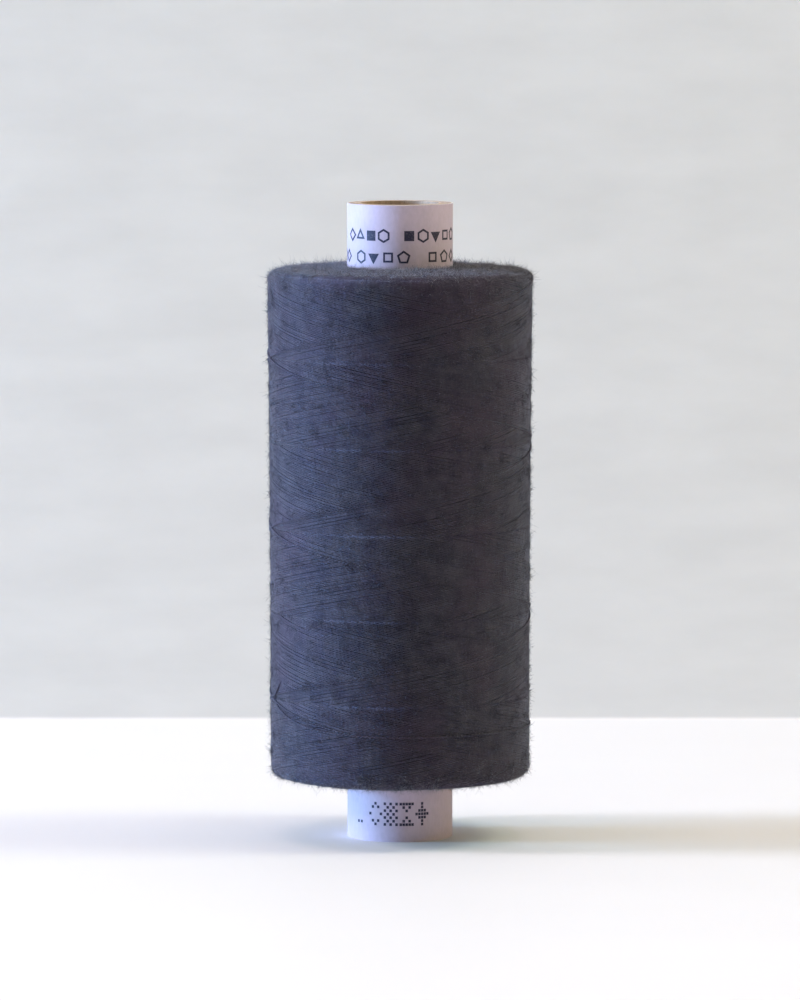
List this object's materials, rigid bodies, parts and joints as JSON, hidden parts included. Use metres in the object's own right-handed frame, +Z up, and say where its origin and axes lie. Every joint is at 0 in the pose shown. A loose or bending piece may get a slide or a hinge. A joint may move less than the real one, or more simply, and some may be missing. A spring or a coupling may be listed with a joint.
{
  "type": "thread spool",
  "caption": "Cardboard tube cross-wound with dark blue sewing thread, its ends left bare for handling, with a through bore that slips over a spool pin.",
  "frame": {"origin": "centre of the tube's foot, on the surface the spool stands on", "axes": "+Z up along the tube's axis, -Y towards the front, where the thread's last wraps cross at the left edge"},
  "size_m": [0.0352, 0.0353, 0.085],
  "materials": {
    "board": "plain grey-brown board, cut square at the ends",
    "bore_board": "smooth brown liner board with a helical butt seam",
    "label_paper": "matt pale lavender label paper",
    "label_print": "dark blue printing ink",
    "thread": "matt spun polyester with short loose fibres"
  },
  "bodies": {
    "root": {"bore_liner_ply": "bore_board", "core_ply_1": "board", "core_ply_2": "board", "core_ply_3": "board", "core_ply_4": "board", "label_wrap": "label_paper", "thread_winding": "thread", "rising_wrap": "thread", "falling_wrap": "thread", "closing_wrap": "thread", "thread_tail": "thread"}
  },
  "joints": []
}
